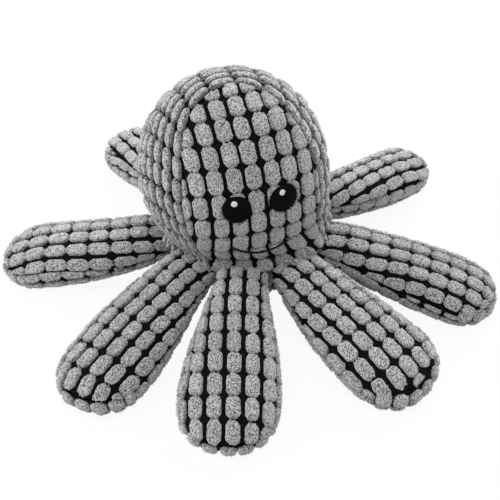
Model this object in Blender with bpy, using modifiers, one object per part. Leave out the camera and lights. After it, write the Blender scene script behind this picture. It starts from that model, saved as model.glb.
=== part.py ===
"""Plush octopus with eight flat paddle tentacles, sewn from thick ribbed pile cloth.

Metres, +Z up. The origin is the middle of the flat patch that the body rests on, and the
face looks along -Y. Left and right are the viewer's, so left is -X.

The body is one stuffed bag. A face panel and a back panel are joined by a long strip that
runs up one side, over the crown and down the other, and a round base panel closes the bag
underneath. The seam between them is the root ring: eight tentacles are sewn into it. Each
tentacle is an upper and a lower panel sewn flat together at the root and filled beyond it,
so the flat root folds up and down like a cloth hinge.
"""
from math import asin, cos, pi, radians, sin, sqrt

import bmesh
import bpy
from mathutils import Matrix, Vector
from mathutils.bvhtree import BVHTree

# Driving dimensions of the whole toy
SPAN = 0.300
HEAD_WIDTH = 0.1060
HEAD_HEIGHT = 0.1116
HEAD_SHIFT_X = -0.0084
HEAD_SHIFT_Y = 0.0021
HEAD_LEAN = radians(5.9)

# The cloth, pile included, and the clearances between sewn pieces
CLOTH_THICKNESS = 0.0045
SEAM_GAP = 0.0003
LINING_GAP = 0.0005
CUT_OVERRUN = 0.020

# The root ring and the base under it
RING_APOTHEM = 0.0380
RING_HEIGHT = 0.0310
BASE_FLAT_RADIUS = 0.0240

# One tentacle
ROOT_WIDTH = 0.0270
BELLY_WIDTH = 0.0525
TENTACLE_THICKNESS = 0.0262
ROOT_FOLD_RADIUS = 0.0016
ROOT_SWELL_LENGTH = 0.0270
TIP_WIDTH_ROUNDING = 0.0290
TIP_THICKNESS_ROUNDING = 0.0240
FLOOR_PRESS = 0.0006
BELLY_SHARE = 0.74
WIDENING_POWER = 1.5
SECTION_POWER = 2.3
TIP_POWER = 2.3

# The embroidery
EYE_DIAMETER = 0.0152
EYE_SPACING = 0.0256
EYE_OFF_CENTRE = 0.0008
EYE_HEIGHT = 0.0109
EYE_SINK = 0.0024
EYE_RIM_DEPTH = 0.0010
EYE_CROWN = 0.0008
GLINT_DIAMETER = 0.0034
GLINT_LEFT = 0.0013
GLINT_UP = 0.0034
GLINT_SINK = 0.0007
GLINT_CROWN = 0.0005
MOUTH_LEFT = -0.0167
MOUTH_RIGHT = 0.0140
MOUTH_HEIGHT = -0.0251
MOUTH_SAG = 0.0059
MOUTH_TILT_SHARE = -0.192
MOUTH_THREAD_RADIUS = 0.0006
MOUTH_SINK = 0.0002

# Resolution of the lofts
BAG_SIDES = 32
BAG_RINGS = (14, 3)
HOLLOW_SIDES = 20
HOLLOW_RINGS = (7, 2)
TENTACLE_SIDES = 12
TENTACLE_HOLLOW_SIDES = 8
TURNED_STEPS = 16
DOME_STEPS = 3
MOUTH_POINTS = 9

HEAD_RADIUS = HEAD_WIDTH / 2
HEAD_HALF_HEIGHT = HEAD_HEIGHT / 2
HINGE_RADIUS = RING_APOTHEM + SEAM_GAP + ROOT_FOLD_RADIUS

# How far below its centre the egg of the head meets the root ring
RING_DEPTH_SHARE = 0.785
RING_LATITUDE = -asin(RING_DEPTH_SHARE)
HEAD_CENTRE_HEIGHT = RING_HEIGHT + RING_DEPTH_SHARE * HEAD_HALF_HEIGHT
HEAD_CENTRE = Vector((HEAD_SHIFT_X, HEAD_SHIFT_Y, HEAD_CENTRE_HEIGHT))

# From the crown to the root ring: the leaning egg of the head is drawn in from the first
# share and is the wall of the level ring from the second
DRAW_IN_SHARE = 0.80
RING_WALL_SHARE = 0.95
RING_CORNER = radians(12.0)

# Where the seams cross the head, seen from the side, in the leaning frame of the head:
# each pair is (forward or back, up or down) as shares of the head's half width and half
# height. The first list bounds the face panel and the second the back panel.
FACE_SEAM_SHARES = (
    (-0.01, 1.04), (-0.05, 0.99), (-0.21, 0.88), (-0.34, 0.77), (-0.49, 0.61),
    (-0.60, 0.43), (-0.66, 0.20), (-0.68, -0.10), (-0.68, -0.26), (-0.63, -0.46),
    (-0.53, -0.66), (-0.46, -0.82), (-0.42, -1.00),
)
BACK_SEAM_SHARES = (
    (1.06, 0.36), (0.93, 0.31), (0.79, 0.22), (0.66, 0.07), (0.58, -0.13),
    (0.54, -0.36), (0.50, -0.58), (0.45, -0.82), (0.42, -1.00),
)

# Each tentacle: name, direction of its root and of its tip in degrees round from the front
# towards +X, and its reach and its belly width as shares of the full ones
TENTACLE_SHARES = (
    ("front_left", -22.5, -22.0, 0.985, 1.04),
    ("side_front_left", -61.0, -54.5, 0.980, 1.02),
    ("side_back_left", -102.0, -108.5, 0.970, 0.90),
    ("back_left", -158.5, -164.0, 1.000, 0.92),
    ("back_right", 155.0, 160.0, 0.970, 0.95),
    ("side_back_right", 105.0, 112.5, 0.990, 0.86),
    ("side_front_right", 57.0, 57.0, 0.980, 0.94),
    ("front_right", 17.5, 22.5, 0.955, 1.06),
)
STATION_SHARES = (0.05, 0.13, 0.26, 0.44, 0.61, 0.76, 0.87, 0.94, 0.98)
HOLLOW_SHARES = (0.10, 0.19, 0.37, 0.60, 0.78, 0.90, 0.965)
FILLING_SHARES = HOLLOW_SHARES[1:-1]
FOLD_SHARES = (-0.94, -0.60, 0.0)


def clear_scene():
    for obj in list(bpy.data.objects):
        bpy.data.objects.remove(obj, do_unlink=True)


def make_collection(name):
    collection = bpy.data.collections.new(name)
    bpy.context.scene.collection.children.link(collection)
    return collection


def make_material(name, colour, roughness):
    material = bpy.data.materials.new(name)
    material.use_nodes = True
    shader = material.node_tree.nodes["Principled BSDF"]
    shader.inputs["Base Color"].default_value = (*colour, 1.0)
    shader.inputs["Roughness"].default_value = roughness
    shader.inputs["Metallic"].default_value = 0.0
    return material


def make_object(name, mesh, collection, material=None, parent=None):
    obj = bpy.data.objects.new(name, mesh)
    collection.objects.link(obj)
    if material:
        obj.data.materials.append(material)
    if parent:
        obj.parent = parent
    mesh.shade_smooth()
    mesh.set_sharp_from_angle(angle=radians(40))
    return obj


def make_cutter(name, mesh, parent=None):
    cutter = make_object(name, mesh, CUTTERS, parent=parent)
    cutter.hide_render = True
    cutter.display_type = "WIRE"
    return cutter


def boolean(obj, cutter, operation="DIFFERENCE"):
    modifier = obj.modifiers.new(cutter.name, "BOOLEAN")
    modifier.operation = operation
    modifier.solver = "EXACT"
    modifier.object = cutter


def finish_mesh(name, bm):
    bmesh.ops.recalc_face_normals(bm, faces=bm.faces)
    mesh = bpy.data.meshes.new(name)
    bm.to_mesh(mesh)
    bm.free()
    return mesh


def loft(name, rings):
    """Skin closed rings of points with triangles. A ring of one point is a pole; other ends
    get a flat cap. Each span is split along the same diagonal, so that nested lofts of the
    same stations run parallel."""
    bm = bmesh.new()
    loops = [[bm.verts.new(point) for point in ring] for ring in rings]
    for first, second in zip(loops, loops[1:]):
        for k in range(max(len(first), len(second))):
            near, far = first[k % len(first)], first[(k + 1) % len(first)]
            near_next, far_next = second[k % len(second)], second[(k + 1) % len(second)]
            if near != far:
                bm.faces.new((near, far, far_next))
            if near_next != far_next:
                bm.faces.new((near, far_next, near_next))
    for loop in (loops[0], loops[-1]):
        if len(loop) > 2:
            bm.faces.new(loop)
    return finish_mesh(name, bm)


def box_mesh(name, low, high):
    bm = bmesh.new()
    bmesh.ops.create_cube(bm, size=1.0)
    for vert in bm.verts:
        vert.co = Vector(low[i] if vert.co[i] < 0 else high[i] for i in range(3))
    return finish_mesh(name, bm)


def smooth_step(value):
    value = max(0.0, min(1.0, value))
    return value * value * (3 - 2 * value)


def signed_power(value, power):
    return abs(value) ** power * (1 if value >= 0 else -1)


# The body: one bag of head and base


def head_frame():
    """Frame of the leaning head: origin at its centre, leaning towards -X."""
    return Matrix.Translation(HEAD_CENTRE) @ Matrix.Rotation(-HEAD_LEAN, 4, "Y")


def ring_radius(azimuth, apothem):
    """Radius of the root ring, drawn flat where each tentacle is sewn to it."""
    radius = apothem / cos(RING_CORNER)
    for _, root, _, _, _ in TENTACLE_SHARES:
        off_side = (azimuth - radians(root) + pi) % (2 * pi) - pi
        if abs(off_side) < RING_CORNER:
            radius = min(radius, apothem / cos(off_side))
    return radius


def egg_point(azimuth, share, inset):
    """Point of the leaning egg of the head; share 0 is the crown."""
    latitude = pi / 2 + share * (RING_LATITUDE - pi / 2)
    radius = (HEAD_RADIUS - inset) * cos(latitude)
    height = (HEAD_HALF_HEIGHT - inset) * sin(latitude)
    return head_frame() @ Vector((radius * sin(azimuth), -radius * cos(azimuth), height))


def head_point(azimuth, share, inset):
    """Point of the bag above the ring; share runs from the crown, 0, to the ring, 1."""
    egg = egg_point(azimuth, share, inset)
    reach = ring_radius(azimuth, RING_APOTHEM - inset)
    drawn = smooth_step((share - DRAW_IN_SHARE) / (RING_WALL_SHARE - DRAW_IN_SHARE))
    level = smooth_step((share - DRAW_IN_SHARE) / (1 - DRAW_IN_SHARE))
    wall = Vector((reach * sin(azimuth), -reach * cos(azimuth), egg.z))
    place = egg.lerp(wall, drawn)
    place.z += level * (RING_HEIGHT - egg_point(azimuth, 1.0, inset).z)
    return place


def base_point(azimuth, share, inset):
    """Point of the bag under the ring; share runs from the ring, 0, to the flat, 1."""
    turn = share * pi / 2
    reach = ring_radius(azimuth, RING_APOTHEM - inset)
    flat = BASE_FLAT_RADIUS - inset
    radius = flat + (reach - flat) * cos(turn)
    height = RING_HEIGHT - (RING_HEIGHT - inset) * sin(turn)
    return Vector((radius * sin(azimuth), -radius * cos(azimuth), height))


def bag_mesh(name, sides, ring_counts, inset):
    head_rings, base_rings = ring_counts
    angles = [2 * pi * k / sides for k in range(sides)]
    rings = [[head_point(0.0, 0.0, inset)]]
    for row in range(1, head_rings + 1):
        rings.append([head_point(angle, row / head_rings, inset) for angle in angles])
    for row in range(1, base_rings + 1):
        rings.append([base_point(angle, row / base_rings, inset) for angle in angles])
    return loft(name, rings)


def seam_outline(seam, side):
    """Closed side-view outline of all that lies in front of (-1) or behind (+1) a seam."""
    reach = HEAD_RADIUS + CUT_OVERRUN
    top = HEAD_HALF_HEIGHT + CUT_OVERRUN
    points = [(y * HEAD_RADIUS, z * HEAD_HALF_HEIGHT) for y, z in seam]
    first = points[0]
    if side < 0:
        lead = [(side * reach, -top), (side * reach, top), (first[0], top)]
    else:
        lead = [(side * reach, -top), (side * reach, first[1])]
    return lead + points + [(points[-1][0], -top)]


def shifted(outline, offset):
    return [(y + offset, z) for y, z in outline]


def prism_mesh(name, outline):
    """A side-view outline in the head's frame, run right through the head along X."""
    reach = HEAD_RADIUS + CUT_OVERRUN
    rings = [[Vector((x, y, z)) for y, z in outline] for x in (-reach, reach)]
    mesh = loft(name, rings)
    mesh.transform(head_frame())
    return mesh


def front_surface(tree, x, z):
    """Where a line along the head's own front-to-back axis meets the bag, and its normal."""
    frame = head_frame()
    start = frame @ Vector((x, -HEAD_WIDTH, z))
    ahead = frame.to_3x3() @ Vector((0, 1, 0))
    place, normal, _, _ = tree.ray_cast(start, ahead)
    return place, normal


def smooth_normal(tree, x, z):
    """Normal of the bag, from points a quarter of an eye away on each side."""
    step = EYE_DIAMETER / 4
    across = front_surface(tree, x + step, z)[0] - front_surface(tree, x - step, z)[0]
    upward = front_surface(tree, x, z + step)[0] - front_surface(tree, x, z - step)[0]
    return across.cross(upward).normalized()


def surface_frame(place, normal):
    """Frame whose Z leaves the surface and whose Y points up along it."""
    upward = Vector((0, 0, 1))
    across = upward.cross(normal).normalized()
    along = normal.cross(across)
    frame = Matrix((across, along, normal)).transposed().to_4x4()
    frame.translation = place
    return frame


def turned_object(name, profile, collection, material, frame):
    """Turn a profile of (radius, height), top to bottom, about its own Z axis."""
    mesh = bpy.data.meshes.new(name)
    edges = [(k, k + 1) for k in range(len(profile) - 1)]
    mesh.from_pydata([(radius, 0, height) for radius, height in profile], edges, [])
    obj = make_object(name, mesh, collection, material)
    screw = obj.modifiers.new("turn", "SCREW")
    screw.axis = "Z"
    screw.steps = TURNED_STEPS
    screw.render_steps = TURNED_STEPS
    screw.use_merge_vertices = True
    screw.merge_threshold = SEAM_GAP / 10
    obj.matrix_world = frame
    return obj


def domed_profile(radius, crown, rim, sink):
    """Half outline of a stitched patch: domed above, flat underneath."""
    profile = []
    for k in range(DOME_STEPS + 1):
        turn = k / DOME_STEPS * pi / 2
        profile.append((radius * sin(turn), rim + (crown - rim) * cos(turn)))
    profile.append((radius, sink))
    profile.append((0, sink))
    return profile


def pocket(name, radius, sink, frame):
    """Cutter for the pressed-down bed of a stitched patch."""
    profile = [(0, CUT_OVERRUN), (radius, CUT_OVERRUN), (radius, sink), (0, sink)]
    cutter = turned_object(name, profile, CUTTERS, None, frame)
    cutter.hide_render = True
    cutter.display_type = "WIRE"
    return cutter


def make_eye(side, name, tree, face_panel):
    """One round eye stitched through the pile, with its white glint."""
    x = EYE_OFF_CENTRE + side * EYE_SPACING / 2
    place = front_surface(tree, x, EYE_HEIGHT)[0]
    frame = surface_frame(place, smooth_normal(tree, x, EYE_HEIGHT))
    radius = EYE_DIAMETER / 2
    eye = turned_object(
        f"eye_{name}",
        domed_profile(radius, EYE_CROWN, -EYE_RIM_DEPTH, -EYE_SINK),
        PARTS,
        THREAD_BLACK,
        frame,
    )
    bed = pocket(f"bed_eye_{name}", radius + SEAM_GAP, -EYE_SINK - SEAM_GAP, frame)
    boolean(face_panel, bed)

    glint_radius = GLINT_DIAMETER / 2
    off_centre = sqrt(GLINT_LEFT ** 2 + GLINT_UP ** 2) / radius
    dome = -EYE_RIM_DEPTH + (EYE_CROWN + EYE_RIM_DEPTH) * sqrt(1 - off_centre ** 2)
    glint_frame = frame @ Matrix.Translation((-GLINT_LEFT, GLINT_UP, dome))
    turned_object(
        f"eye_glint_{name}",
        domed_profile(glint_radius, GLINT_CROWN, 0, -GLINT_SINK),
        PARTS,
        THREAD_WHITE,
        glint_frame,
    )
    bed = pocket(
        f"bed_glint_{name}", glint_radius + SEAM_GAP, -GLINT_SINK - SEAM_GAP, glint_frame
    )
    boolean(eye, bed)


def mouth_route(tree):
    """Smile line: a shallow arc, tilted as it is stitched, laid into the pile."""
    points = []
    middle = (MOUTH_LEFT + MOUTH_RIGHT) / 2
    half = (MOUTH_RIGHT - MOUTH_LEFT) / 2
    for k in range(MOUTH_POINTS):
        across = 2 * k / (MOUTH_POINTS - 1) - 1
        x = middle + across * half
        z = MOUTH_HEIGHT + MOUTH_SAG * across ** 2 + MOUTH_TILT_SHARE * across * half
        place, normal = front_surface(tree, x, z)
        points.append(place - normal * MOUTH_SINK)
    return points


def thread_mesh(name, points, radius):
    """A round thread along the points, with closed ends, as a mesh."""
    curve = bpy.data.curves.new(name, "CURVE")
    curve.dimensions = "3D"
    curve.bevel_depth = radius
    curve.bevel_resolution = 2
    curve.use_fill_caps = True
    spline = curve.splines.new("POLY")
    spline.points.add(len(points) - 1)
    for knot, place in zip(spline.points, points):
        knot.co = (*place, 1)
    obj = bpy.data.objects.new(name, curve)
    CUTTERS.objects.link(obj)
    graph = bpy.context.evaluated_depsgraph_get()
    mesh = bpy.data.meshes.new_from_object(obj.evaluated_get(graph))
    bpy.data.objects.remove(obj, do_unlink=True)
    bm = bmesh.new()
    bm.from_mesh(mesh)
    bmesh.ops.remove_doubles(bm, verts=bm.verts, dist=SEAM_GAP / 10)
    return finish_mesh(name, bm)


def make_body():
    bag = bag_mesh("bag", BAG_SIDES, BAG_RINGS, 0)
    bm = bmesh.new()
    bm.from_mesh(bag)
    tree = BVHTree.FromBMesh(bm)
    bm.free()

    hollow = make_cutter("bag_hollow", bag_mesh(
        "bag_hollow", HOLLOW_SIDES, HOLLOW_RINGS, CLOTH_THICKNESS
    ))
    reach = HEAD_RADIUS + CUT_OVERRUN
    half_gap = SEAM_GAP / 2
    under_ring = make_cutter("under_ring", box_mesh(
        "under_ring",
        (-reach, -reach, -CUT_OVERRUN),
        (reach, reach, RING_HEIGHT + half_gap),
    ))
    over_ring = make_cutter("over_ring", box_mesh(
        "over_ring",
        (-reach, -reach, RING_HEIGHT - half_gap),
        (reach, reach, HEAD_CENTRE_HEIGHT + HEAD_HEIGHT),
    ))
    face_side = seam_outline(FACE_SEAM_SHARES, -1)
    back_side = seam_outline(BACK_SEAM_SHARES, 1)
    face_block = make_cutter("face_block", prism_mesh("face_block", shifted(face_side, -half_gap)))
    face_clear = make_cutter("face_clear", prism_mesh("face_clear", shifted(face_side, half_gap)))
    back_block = make_cutter("back_block", prism_mesh("back_block", shifted(back_side, half_gap)))
    back_clear = make_cutter("back_clear", prism_mesh("back_clear", shifted(back_side, -half_gap)))

    face_panel = make_object("face_panel", bag.copy(), PARTS, PILE_FACE)
    boolean(face_panel, hollow)
    boolean(face_panel, under_ring)
    boolean(face_panel, face_block, "INTERSECT")

    back_panel = make_object("back_panel", bag.copy(), PARTS, PILE_BACK)
    boolean(back_panel, hollow)
    boolean(back_panel, under_ring)
    boolean(back_panel, back_block, "INTERSECT")

    side_strip = make_object("side_strip", bag.copy(), PARTS, PILE_SIDE)
    boolean(side_strip, hollow)
    boolean(side_strip, under_ring)
    boolean(side_strip, face_clear)
    boolean(side_strip, back_clear)

    base_panel = make_object("base_panel", bag, PARTS, PILE_BASE)
    boolean(base_panel, hollow)
    boolean(base_panel, over_ring)

    lining = CLOTH_THICKNESS + LINING_GAP
    filling = bag_mesh("body_filling", HOLLOW_SIDES, HOLLOW_RINGS, lining)
    make_object("body_filling", filling, PARTS, FIBRE)

    make_eye(-1, "left", tree, face_panel)
    make_eye(1, "right", tree, face_panel)

    route = mouth_route(tree)
    mouth = thread_mesh("mouth_stitch", route, MOUTH_THREAD_RADIUS)
    make_object("mouth_stitch", mouth, PARTS, THREAD_MOUTH)
    before = route[0] + (route[0] - route[1]).normalized() * SEAM_GAP
    after = route[-1] + (route[-1] - route[-2]).normalized() * SEAM_GAP
    longer = [before, *route, after]
    groove = thread_mesh("mouth_groove", longer, MOUTH_THREAD_RADIUS + SEAM_GAP)
    boolean(face_panel, make_cutter("mouth_groove", groove))


# The tentacles


class Tentacle:
    """Sizes of one tentacle in its own frame: X runs outward from the root fold."""

    def __init__(self, root, tip, reach_share, width_share):
        self.azimuth = radians(root)
        sweep = radians(tip - root)
        radius = SPAN / 2 * reach_share
        drop = RING_HEIGHT - TENTACLE_THICKNESS / 2 + FLOOR_PRESS
        self.slope = asin(drop / ((radius - HINGE_RADIUS) * BELLY_SHARE))
        self.reach = (radius * cos(sweep) - HINGE_RADIUS) / cos(self.slope)
        self.aside = radius * sin(sweep)
        self.belly = BELLY_WIDTH * width_share

    def half_width(self, x, inset):
        grown = sin(min(1.0, max(0.0, x / (self.reach * BELLY_SHARE))) * pi / 2)
        width = ROOT_WIDTH + (self.belly - ROOT_WIDTH) * grown ** WIDENING_POWER
        left = self.reach - inset - x
        return (width / 2 - inset) * tip_rounding(left, TIP_WIDTH_ROUNDING)

    def half_thickness(self, x, inset):
        if x < 0:
            return sqrt(ROOT_FOLD_RADIUS ** 2 - x ** 2)
        swell = sin(min(1.0, x / ROOT_SWELL_LENGTH) * pi / 2)
        full = TENTACLE_THICKNESS / 2
        thickness = ROOT_FOLD_RADIUS + (full - ROOT_FOLD_RADIUS) * swell
        left = self.reach - inset - x
        return (thickness - inset) * tip_rounding(left, TIP_THICKNESS_ROUNDING)

    def section(self, x, inset, sides):
        """Ring of points square to the swept middle line, pressed flat by the floor."""
        share = max(0.0, x / self.reach)
        middle = Vector((x, self.aside * share ** 2, 0))
        along = Vector((self.reach, 2 * self.aside * share, 0)).normalized()
        across = Vector((-along.y, along.x, 0))
        wide = self.half_width(x, inset)
        high = self.half_thickness(x, inset)
        ring = []
        for k in range(sides):
            turn = 2 * pi * (k + 0.5) / sides
            place = middle + across * wide * signed_power(cos(turn), 2 / SECTION_POWER)
            rise = high * signed_power(sin(turn), 2 / SECTION_POWER)
            floor = (place.x * sin(self.slope) - RING_HEIGHT) / cos(self.slope)
            place.z = max(rise, floor + inset)
            ring.append(place)
        return ring

    def outside(self, name):
        """The whole limb, from its rounded root fold to its tip."""
        fold = [share * ROOT_FOLD_RADIUS for share in FOLD_SHARES]
        limb = [share * self.reach for share in STATION_SHARES]
        return loft(name, [self.section(x, 0, TENTACLE_SIDES) for x in fold + limb])

    def inside(self, name, inset, shares):
        """The room inside the cloth, or the filling in it."""
        places = [share * (self.reach - inset) for share in shares]
        return loft(name, [self.section(x, inset, TENTACLE_HOLLOW_SIDES) for x in places])


def tip_rounding(left, length):
    """1 on the limb, falling to 0 in a round end; left is what remains to the tip."""
    if left >= length:
        return 1.0
    return max(0.0, 1 - (1 - left / length) ** TIP_POWER) ** (1 / TIP_POWER)


def make_tentacle(name, *shares):
    """Upper and lower panel and filling, on an empty whose Y axis is the root fold."""
    form = Tentacle(*shares)
    hinge = bpy.data.objects.new(f"{name}_fold", None)
    PARTS.objects.link(hinge)
    x, y = sin(form.azimuth), -cos(form.azimuth)
    hinge.location = (HINGE_RADIUS * x, HINGE_RADIUS * y, RING_HEIGHT)
    hinge.rotation_euler = (0, form.slope, form.azimuth - pi / 2)

    whole = form.outside(name)
    hollow = make_cutter(
        f"{name}_hollow", form.inside(f"{name}_hollow", CLOTH_THICKNESS, HOLLOW_SHARES), hinge
    )
    far = SPAN / 2
    wide = BELLY_WIDTH + CUT_OVERRUN
    half_gap = SEAM_GAP / 2
    below = make_cutter(f"{name}_below", box_mesh(
        f"{name}_below", (-CUT_OVERRUN, -wide, -CUT_OVERRUN), (far, wide, half_gap)
    ), hinge)
    above = make_cutter(f"{name}_above", box_mesh(
        f"{name}_above", (-CUT_OVERRUN, -wide, -half_gap), (far, wide, CUT_OVERRUN)
    ), hinge)

    upper = make_object(f"{name}_upper_panel", whole.copy(), PARTS, PILE_UPPER, hinge)
    boolean(upper, hollow)
    boolean(upper, below)
    lower = make_object(f"{name}_lower_panel", whole, PARTS, PILE_LOWER, hinge)
    boolean(lower, hollow)
    boolean(lower, above)
    filling = form.inside(f"{name}_filling", CLOTH_THICKNESS + LINING_GAP, FILLING_SHARES)
    make_object(f"{name}_filling", filling, PARTS, FIBRE, hinge)


clear_scene()
PARTS = make_collection("plush_octopus")
CUTTERS = make_collection("cutters")

PILE_GREY = (0.36, 0.36, 0.36)
PILE_FACE = make_material("pile_face", PILE_GREY, 0.95)
PILE_SIDE = make_material("pile_side", PILE_GREY, 0.95)
PILE_BACK = make_material("pile_back", PILE_GREY, 0.95)
PILE_BASE = make_material("pile_base", PILE_GREY, 0.95)
PILE_UPPER = make_material("pile_upper", PILE_GREY, 0.95)
PILE_LOWER = make_material("pile_lower", PILE_GREY, 0.95)
FIBRE = make_material("fibre", (0.80, 0.80, 0.78), 0.90)
THREAD_BLACK = make_material("thread_black", (0.012, 0.012, 0.012), 0.45)
THREAD_MOUTH = make_material("thread_mouth", (0.012, 0.012, 0.012), 0.60)
THREAD_WHITE = make_material("thread_white", (0.85, 0.85, 0.85), 0.50)

make_body()
for tentacle in TENTACLE_SHARES:
    make_tentacle(*tentacle)
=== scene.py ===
"""Plush octopus: raised cells of grey pile on a near-black ground cloth, laid panel by panel
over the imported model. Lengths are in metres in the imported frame; charts count in mm."""
import math
from collections import namedtuple

import bpy
import numpy as np
from mathutils import Matrix, Vector
from mathutils.bvhtree import BVHTree


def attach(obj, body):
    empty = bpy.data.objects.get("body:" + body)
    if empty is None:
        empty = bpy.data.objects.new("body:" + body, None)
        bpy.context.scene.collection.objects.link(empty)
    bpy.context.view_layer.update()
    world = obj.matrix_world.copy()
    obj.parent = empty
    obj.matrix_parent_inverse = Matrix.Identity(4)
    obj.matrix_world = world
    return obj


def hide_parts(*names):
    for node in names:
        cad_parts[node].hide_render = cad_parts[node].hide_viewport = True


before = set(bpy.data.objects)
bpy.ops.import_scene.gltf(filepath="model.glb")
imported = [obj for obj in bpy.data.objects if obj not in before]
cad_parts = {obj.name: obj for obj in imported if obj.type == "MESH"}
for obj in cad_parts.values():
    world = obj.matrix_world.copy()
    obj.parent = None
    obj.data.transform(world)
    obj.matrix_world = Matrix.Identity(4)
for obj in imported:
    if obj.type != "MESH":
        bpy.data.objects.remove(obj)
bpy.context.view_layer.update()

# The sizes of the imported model, in millimetres
SPAN = 300.0
HEAD_RADIUS = 53.0
HEAD_HALF_HEIGHT = 55.8
HEAD_LEAN = math.radians(5.9)
RING_APOTHEM = 38.0
RING_HEIGHT = 31.0
RING_CORNER = math.radians(12.0)
RING_DEPTH_SHARE = 0.785
RING_LATITUDE = -math.asin(RING_DEPTH_SHARE)
HEAD_CENTRE = np.array((-8.4, 2.1, RING_HEIGHT + RING_DEPTH_SHARE * HEAD_HALF_HEIGHT))
DRAW_IN_SHARE = 0.80
RING_WALL_SHARE = 0.95
BASE_FLAT_RADIUS = 24.0
ROOT_WIDTH = 28.0
BELLY_WIDTH = 52.5
THICKNESS = 26.2
FOLD_RADIUS = 1.6
HINGE_RADIUS = RING_APOTHEM + 0.3 + FOLD_RADIUS
ROOT_SWELL = 27.0
ROOT_ROOM = 6.0
TIP_WIDTH_ROUNDING = 29.0
TIP_THICKNESS_ROUNDING = 24.0
FLOOR_PRESS = 0.6
ROOT_FULLNESS = 0.5
WIDENING = 1.5
ROOT_RADIUS = 3.2
ROOT_TUCK = 1.2
BELLY_SHARE = 0.74
SECTION_POWER = 2.3
TIP_POWER = 2.3

# The face, in mm from the middle of the head
EYE_SPACING = 25.6
EYE_OFF_CENTRE = 0.8
EYE_HEIGHT = 10.9
EYE_RADIUS = 7.6
EYE_STRETCH = {"left": 1.0, "right": 1.1}
EYE_ASIDE = 0.4
EYE_LOWERED = {"left": 0.6, "right": 1.6}
MOUTH_LEFT, MOUTH_RIGHT, MOUTH_HEIGHT, MOUTH_SAG, MOUTH_TILT = -17.0, 14.3, -25.1, 6.5, -0.180

# The two long seams in side view, as shares of the head's size
FACE_SEAM = (
    (-0.01, 1.04), (-0.05, 0.99), (-0.21, 0.88), (-0.34, 0.77), (-0.49, 0.61),
    (-0.60, 0.43), (-0.66, 0.20), (-0.68, -0.10), (-0.68, -0.26), (-0.63, -0.46),
    (-0.53, -0.66), (-0.46, -0.82), (-0.42, -1.00),
)
BACK_SEAM = (
    (1.06, 0.36), (0.93, 0.31), (0.79, 0.22), (0.66, 0.07), (0.58, -0.13),
    (0.54, -0.36), (0.50, -0.58), (0.45, -0.82), (0.42, -1.00),
)
FACE_TOP, BACK_TOP, SEAM_FOOT = 87.7, 18.5, -64.0

# name, root and tip direction, reach and width shares, how far its middle sways aside, and the
# share of its root's width
TENTACLES = (
    ("front_left", -22.5, -22.5, 0.985, 1.02, -0.5, 1.0),
    ("side_front_left", -61.0, -54.8, 0.980, 0.99, 2.4, 1.05),
    ("side_back_left", -100.0, -108.5, 0.970, 0.88, 0.0, 0.95),
    ("back_left", -158.5, -164.0, 1.000, 0.90, 0.0, 1.0),
    ("back_right", 155.0, 160.0, 0.970, 0.95, 0.0, 1.0),
    ("side_back_right", 105.0, 113.0, 0.990, 0.75, 0.6, 0.92),
    ("side_front_right", 57.0, 56.3, 0.980, 0.92, -0.6, 0.95),
    ("front_right", 17.5, 23.2, 0.955, 1.05, 0.0, 1.07),
)

# How far the head sags out over the roots, in mm by azimuth, and how much further out it is
# stretched on the right side, by the share of the way down
OVERHANG = (
    (-180, -125, -88, -75, -60, -48, -35, -21, -9, 5, 14, 23, 35, 45, 72, 105, 180),
    (9.0, 12.0, 13.0, 13.0, 11.5, 10.0, 7.5, 6.5, 6.5, 6.0, 9.0, 10.5, 11.0, 9.5, 8.5, 9.0, 9.0),
)
RIGHT_STRETCH = (
    (0.64, 0.70, 0.766, 0.80, 0.85, 0.9075, 0.96),
    (0.0, 1.0, 2.8, 4.0, 4.6, 2.0, 0.0),
)
STRETCH_AZIMUTH, STRETCH_SPREAD = 72.0, 75.0

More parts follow.
